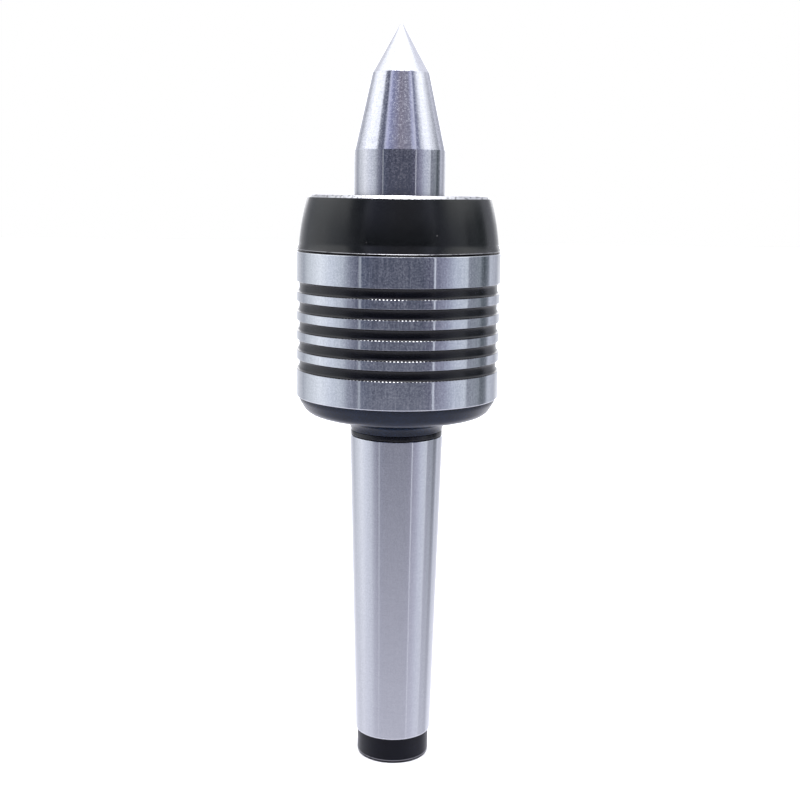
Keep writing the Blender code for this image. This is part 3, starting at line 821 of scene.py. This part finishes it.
def build_needle_bearing():
    low, high = NEEDLE_Z - BEARING_HALF_WIDTH, NEEDLE_Z + BEARING_HALF_WIDTH
    wall = 0.9
    cup = [
        corner(8.0, high, "race", 0.6),
        corner(6.3, high, "race", 0.2),
        corner(6.3, high - wall, "race", 0.1),
        corner(7.0, high - wall, "track"),
        corner(7.0, low + wall, "race"),
        corner(6.3, low + wall, "race", 0.1),
        corner(6.3, low, "race", 0.2),
        corner(8.0, low, "race", 0.6),
    ]
    inner_ring("needle_cup", cup, "housing")
    inner, outer = NEEDLE_PITCH_R - 0.4, NEEDLE_PITCH_R + 0.4
    half_height = NEEDLE_HALF_LENGTH + 0.6
    section = ring_corners(inner, outer, NEEDLE_Z - half_height, NEEDLE_Z + half_height, 0.12, "race")
    cage = inner_ring("needle_cage", section, "needle_cage")
    slot_size = (4.0, 2 * (NEEDLE_R + 0.08), 2 * (NEEDLE_HALF_LENGTH + 0.1))
    slots = []
    for index, angle in enumerate(around(NEEDLES)):
        name = f"needle_slot_{index}"
        turn = Matrix.Rotation(angle, 3, "Z").to_quaternion()
        middle = on_circle(angle, NEEDLE_PITCH_R, NEEDLE_Z)
        slots.append(add_cutter(name, box_mesh(name, slot_size), middle, turn))
    cut_and_apply(cage, slots)
    for index, angle in enumerate(around(NEEDLES)):
        needle = [
            corner(0.0, -NEEDLE_HALF_LENGTH, "ball"),
            corner(NEEDLE_R, -NEEDLE_HALF_LENGTH, "ball", 0.3),
            corner(NEEDLE_R, NEEDLE_HALF_LENGTH, "ball", 0.3),
            corner(0.0, NEEDLE_HALF_LENGTH, "ball"),
        ]
        middle = on_circle(angle, NEEDLE_PITCH_R, NEEDLE_Z)
        rolling_piece(f"needle_{index + 1:02d}", needle, middle, "needle_cage", 32)


# ---------------------------------------------------------------- clip, washer, seal


def build_circlip():
    """A circlip for shafts: it narrows towards its ends, and each end is a lug with a plier hole."""
    low, high = 116.75, 117.65
    inside = 9.5
    steps = 96
    opening = math.radians(14)
    lug_at, lug_r, hole_r = 12.0, 1.35, 0.6
    outer_edge = []
    inner_edge = []
    for step in range(steps + 1):
        angle = opening + (math.tau - 2 * opening) * step / steps
        width = 1.55 - 0.45 * math.cos(angle)
        inner_edge.append(on_circle(angle, inside, 0.0))
        outer_edge.append(on_circle(angle, inside + width, 0.0))
    bm = bmesh.new()
    loop = [bm.verts.new(Vector(point) * MM) for point in outer_edge + inner_edge[::-1]]
    lift_face(bm, bm.faces.new(loop), low, high)
    clip_mesh = mesh_of("spindle_circlip_fine", bm)
    clip_mesh.materials.append(finish_named("spring"))
    clip = add_piece("spindle_circlip_fine", clip_mesh, "spindle", ["spindle_circlip"])
    joined = []
    drilled = []
    for index, side in enumerate((-1, 1)):
        where = on_circle(side * (opening + 0.11), lug_at, (low + high) / 2)
        lug_name, hole_name = f"lug_{index}", f"lug_hole_{index}"
        joined.append(add_cutter(lug_name, rod_mesh(lug_name, lug_r, high - low, 40), where))
        drilled.append(add_cutter(hole_name, rod_mesh(hole_name, hole_r, 3.0, 28), where))
    for lug in joined:
        modifier = clip.modifiers.new(lug.name, "BOOLEAN")
        modifier.operation = "UNION"
        modifier.solver = "EXACT"
        modifier.object = lug
    cut_and_apply(clip, drilled)
    for lug in joined:
        bpy.data.objects.remove(lug)


def lift_face(bm, face, low, high):
    """Turns a flat face at height 0 into a plate between two heights."""
    grown = bmesh.ops.extrude_face_region(bm, geom=[face])
    lifted = [item for item in grown["geom"] if isinstance(item, bmesh.types.BMVert)]
    for vert in bm.verts:
        vert.co.z = low * MM
    for vert in lifted:
        vert.co.z = high * MM


def swept_ring(node, steps, section_at, finish, body):
    """A closed ring: section_at(angle) gives the points of its section there, as (radius, height)."""
    points = []
    faces = []
    count = 0
    for step in range(steps):
        angle = math.tau * step / steps
        section = section_at(angle)
        count = len(section)
        for radius, height in section:
            points.append(Vector(on_circle(angle, radius, height)) * MM)
    for step in range(steps):
        here = step * count
        there = ((step + 1) % steps) * count
        for side in range(count):
            after = (side + 1) % count
            faces.append((here + side, there + side, there + after, here + after))
    mesh = bpy.data.meshes.new(f"{node}_fine")
    mesh.from_pydata(points, [], faces)
    mesh.materials.append(finish_named(finish))
    finish_smooth(add_piece(f"{node}_fine", mesh, body, [node]))


def build_wave_washer():
    """A thin spring ring that waves up and down between the front bearing and the cap."""

    def section(angle):
        middle = 130.95 + 0.28 * math.sin(4 * angle)
        low, high = middle - 0.2, middle + 0.2
        inner, outer, edge = 18.2, 20.7, 0.08
        return [
            (inner, low + edge),
            (inner + edge, low),
            (outer - edge, low),
            (outer, low + edge),
            (outer, high - edge),
            (outer - edge, high),
            (inner + edge, high),
            (inner, high - edge),
        ]

    swept_ring("preload_wave_washer", 240, section, "spring", "housing")


def build_garter_spring():
    """A close coil of fine wire, bent into a ring around the seal's lip."""
    turns, steps_a_turn, wire_sides = 230, 12, 6
    ring_r, ring_z, coil_r, wire_r = 13.75, 140.35, 0.47, 0.12
    count = turns * steps_a_turn
    points = []
    faces = []
    for step in range(count):
        along = math.tau * step / count
        wind = math.tau * turns * step / count
        radial = Vector(on_circle(along, 1.0, 0.0))
        up = Vector((0.0, 0.0, 1.0))
        spoke = radial * math.cos(wind) + up * math.sin(wind)
        forward = Vector(on_circle(along + math.pi / 2, 1.0, 0.0))
        middle = radial * ring_r + up * ring_z + spoke * coil_r
        for side in range(wire_sides):
            lean = math.tau * side / wire_sides
            out = spoke * math.cos(lean) + forward * math.sin(lean)
            points.append((middle + out * wire_r) * MM)
    for step in range(count):
        here = step * wire_sides
        there = ((step + 1) % count) * wire_sides
        for side in range(wire_sides):
            after = (side + 1) % wire_sides
            faces.append((here + side, here + after, there + after, there + side))
    mesh = bpy.data.meshes.new("seal_garter_spring_fine")
    mesh.from_pydata(points, [], faces)
    mesh.materials.append(finish_named("spring"))
    spring = add_piece(
        "seal_garter_spring_fine", mesh, "housing", ["seal_garter_spring"]
    )
    finish_smooth(spring, 60)


def build_seal():
    """The shaft seal's case and lip, and the O-ring in the cap's spigot."""
    case = [
        corner(17.5, 144.3, "race", 0.5),
        corner(13.5, 144.3, "race", 0.15),
        corner(13.5, 143.7, "race", 0.15),
        corner(16.9, 143.7, "race", 0.3),
        corner(16.9, 138.3, "race", 0.15),
        corner(17.5, 138.3, "race", 0.25),
    ]
    inner_ring("seal_case", case, "housing")
    lip = [
        corner(16.6, 143.4, "rubber", 0.15),
        corner(13.2, 143.4, "rubber"),
        corner(13.2, 144.1, "rubber", 0.2),
        corner(11.65, 144.2, "rubber", 0.08),
        corner(12.3, 143.1, "rubber", 0.3),
        corner(12.6, 142.0, "rubber", 0.3),
        corner(12.3, 141.0, "rubber", 0.3),
        corner(11.65, 140.2, "rubber", 0.05),
        corner(12.1, 139.0, "rubber", 0.2),
        corner(13.6, 139.0, "rubber", 0.1),
        corner(13.6, 139.3, "rubber", 0.1),
        corner(12.85, 139.7, "rubber", 0.2),
        corner(12.85, 140.9, "rubber", 0.3),
        corner(13.5, 141.5, "rubber", 0.3),
        corner(13.5, 142.6, "rubber", 0.3),
        corner(16.6, 142.6, "rubber", 0.15),
    ]
    inner_ring("seal_lip", lip, "housing")
    o_ring = arc_corners((22.05, 133.5), 0.7, 0, 345, 23, "rubber")
    inner_ring("cap_o_ring", o_ring, "housing")


# ---------------------------------------------------------------- studio

# The light tent's walls as the steel mirrors them: degrees from the camera's side, positive to its right,
# and the colour there. The horizon is what upright steel mirrors, and the raised walls what leaning does.
HORIZON = (
    (-180, 1.10, 1.12, 1.18),
    (-165, 1.05, 1.07, 1.14),
    (-153, 0.84, 0.85, 0.90),
    (-132, 0.52, 0.54, 0.60),
    (-122, 0.78, 0.81, 0.86),
    (-97, 1.18, 1.21, 1.27),
    (-80, 0.92, 0.96, 1.06),
    (-65, 0.70, 0.74, 0.82),
    (-56, 0.34, 0.36, 0.44),
    (-47, 0.17, 0.18, 0.25),
    (-43.7, 0.15, 0.16, 0.22),
    (-43.3, 1.25, 1.30, 1.35),
    (-42.4, 1.25, 1.30, 1.35),
    (-42.0, 0.13, 0.15, 0.22),
    (-26, 0.10, 0.11, 0.16),
    (26, 0.10, 0.11, 0.16),
    (39.5, 0.14, 0.14, 0.21),
    (40.1, 1.35, 1.38, 1.50),
    (41.3, 1.35, 1.38, 1.50),
    (41.9, 0.22, 0.22, 0.31),
    (55, 0.40, 0.41, 0.53),
    (66, 0.68, 0.72, 0.84),
    (83.4, 0.80, 0.84, 0.92),
    (84.6, 0.32, 0.34, 0.40),
    (103, 0.33, 0.36, 0.40),
    (108, 0.12, 0.14, 0.16),
    (112, 0.12, 0.14, 0.16),
    (119, 0.26, 0.28, 0.32),
    (124, 0.72, 0.74, 0.82),
    (142, 0.54, 0.55, 0.62),
    (153, 0.84, 0.85, 0.90),
    (164, 0.98, 1.00, 1.06),
)
RAISED = (
    (-180, 1.00, 1.01, 1.06),
    (-132, 1.00, 1.01, 1.08),
    (-120, 1.45, 1.48, 1.54),
    (-98, 1.80, 1.83, 1.90),
    (-66, 1.46, 1.49, 1.56),
    (-60, 0.34, 0.36, 0.44),
    (-48, 0.16, 0.17, 0.24),
    (-44, 0.30, 0.32, 0.42),
    (-41, 0.84, 0.86, 1.06),
    (-35, 0.66, 0.68, 0.94),
    (-28, 0.38, 0.40, 0.60),
    (0, 0.35, 0.33, 0.41),
    (28, 0.36, 0.36, 0.46),
    (36, 0.64, 0.66, 0.88),
    (43, 0.90, 0.92, 1.10),
    (46, 0.30, 0.32, 0.46),
    (52, 0.36, 0.38, 0.50),
    (59, 0.84, 0.87, 0.96),
    (69, 1.50, 1.53, 1.58),
    (86, 1.75, 1.78, 1.83),
    (98, 1.45, 1.48, 1.52),
    (108, 1.20, 1.22, 1.30),
    (131, 1.10, 1.12, 1.22),
    (180, 1.00, 1.01, 1.06),
)


def tent_walls(tree, azimuth, walls):
    """The walls' colour at an azimuth in radians."""
    turn = mapped(tree, azimuth, -math.pi, math.pi)
    made = add(tree, "ShaderNodeValToRGB", {0: turn})
    ramp = made.color_ramp
    while len(ramp.elements) < len(walls):
        ramp.elements.new(0.5)
    for element, (degrees, red, green, blue) in zip(ramp.elements, walls):
        element.position = (degrees + 180) / 360
        element.color = (red, green, blue, 1.0)
    return made.outputs[0]


def build_studio():
    """A white tent with dark gaps around the camera, and a strong lamp right above. The camera itself sees
    a plain white backdrop."""
    world = bpy.data.worlds.new("light_tent")
    bpy.context.scene.world = world
    world.use_nodes = True
    tree = world.node_tree
    tree.nodes.clear()
    direction = add(tree, "ShaderNodeTexCoord").outputs["Generated"]
    split = add(tree, "ShaderNodeSeparateXYZ", {0: direction})
    rise = split.outputs[2]
    toward = times(tree, split.outputs[1], -1.0)
    azimuth = math_of(tree, "ARCTAN2", split.outputs[0], toward)
    # A dark wall around the camera, from the horizon up
    front = mapped(tree, toward, 0.66, 0.76)
    shadow = times(tree, front, mapped(tree, rise, 0.0, 0.10, 0.0, 0.5))
    walls = mixed(tree, shadow, tent_walls(tree, azimuth, HORIZON), (0.02, 0.02, 0.03, 1.0))
    # The raised walls, the bright cloth above them, and the lamp
    up = mapped(tree, rise, 0.16, 0.42, smooth=True)
    color = mixed(tree, up, walls, tent_walls(tree, azimuth, RAISED))
    over = mapped(tree, rise, 0.70, 0.87, smooth=True)
    color = mixed(tree, over, color, (1.9, 1.92, 2.0, 1.0))
    lamp = mapped(tree, rise, 0.90, 0.98, smooth=True)
    color = mixed(tree, lamp, color, (14.0, 14.0, 14.4, 1.0))
    # The white table, brighter behind the object
    below = mapped(tree, rise, -0.06, -0.64, smooth=True)
    behind = mapped(tree, toward, -0.45, -0.95)
    ground = mixed(tree, behind, (0.94, 0.93, 1.05, 1.0), (1.7, 1.7, 1.85, 1.0))
    color = mixed(tree, below, color, ground)
    # A bright patch low on the wall behind, which the cap's flat top mirrors
    glow = times(tree, mapped(tree, rise, 0.02, 0.08), mapped(tree, toward, -0.88, -0.96))
    glow = times(tree, glow, mapped(tree, rise, 0.32, 0.40, 1.0, 0.0))
    color = mixed(tree, glow, color, (2.6, 2.6, 2.7, 1.0))
    # What the camera sees is the backdrop, and everything else sees the tent
    tent = add(tree, "ShaderNodeBackground", {"Color": color, "Strength": 1.0})
    backdrop = add(tree, "ShaderNodeBackground", {"Color": (1.0, 1.0, 1.0, 1.0), "Strength": 1.0})
    rays = add(tree, "ShaderNodeLightPath")
    both = add(
        tree,
        "ShaderNodeMixShader",
        {0: rays.outputs["Is Camera Ray"], 1: tent.outputs[0], 2: backdrop.outputs[0]},
    )
    add(tree, "ShaderNodeOutputWorld", {"Surface": both.outputs[0]})
    bpy.context.scene.view_settings.view_transform = "Standard"


def build_floor():
    """A plain pale floor, which the polished steel doesn't mirror."""
    half = 3.0
    mesh = bpy.data.meshes.new("floor")
    mesh.from_pydata(
        [(-half, -half, 0.0), (half, -half, 0.0), (half, half, 0.0), (-half, half, 0.0)],
        [],
        [(0, 1, 2, 3)],
    )
    floor = bpy.data.objects.new("floor", mesh)
    bpy.context.collection.objects.link(floor)
    paint = new_material("white_floor", Roughness=0.9, Base_Color=(0.95, 0.95, 0.96, 1.0))[0]
    mesh.materials.append(paint)
    floor.visible_glossy = False


def build_camera():
    """The camera in front of the object, a little above its middle and looking slightly down."""
    data = bpy.data.cameras.new("camera")
    data.lens = CAMERA_LENS
    data.sensor_width = 36.0
    camera = bpy.data.objects.new("camera", data)
    bpy.context.collection.objects.link(camera)
    tilt = Matrix.Rotation(math.radians(90) + CAMERA_PITCH, 4, "X")
    roll = Matrix.Rotation(CAMERA_ROLL, 4, "Z")
    camera.matrix_world = Matrix.Translation(CAMERA_AT) @ tilt @ roll
    bpy.context.scene.camera = camera


# ---------------------------------------------------------------- build


build_camera()
build_studio()
build_floor()
turned("housing_fine", housing_corners(), "housing", ["housing"])
turned("spindle_fine", spindle_corners(), "spindle", ["spindle"])
build_cap()
build_front_bearing()
build_thrust_bearing()
build_needle_bearing()
build_circlip()
build_wave_washer()
build_garter_spring()
build_seal()
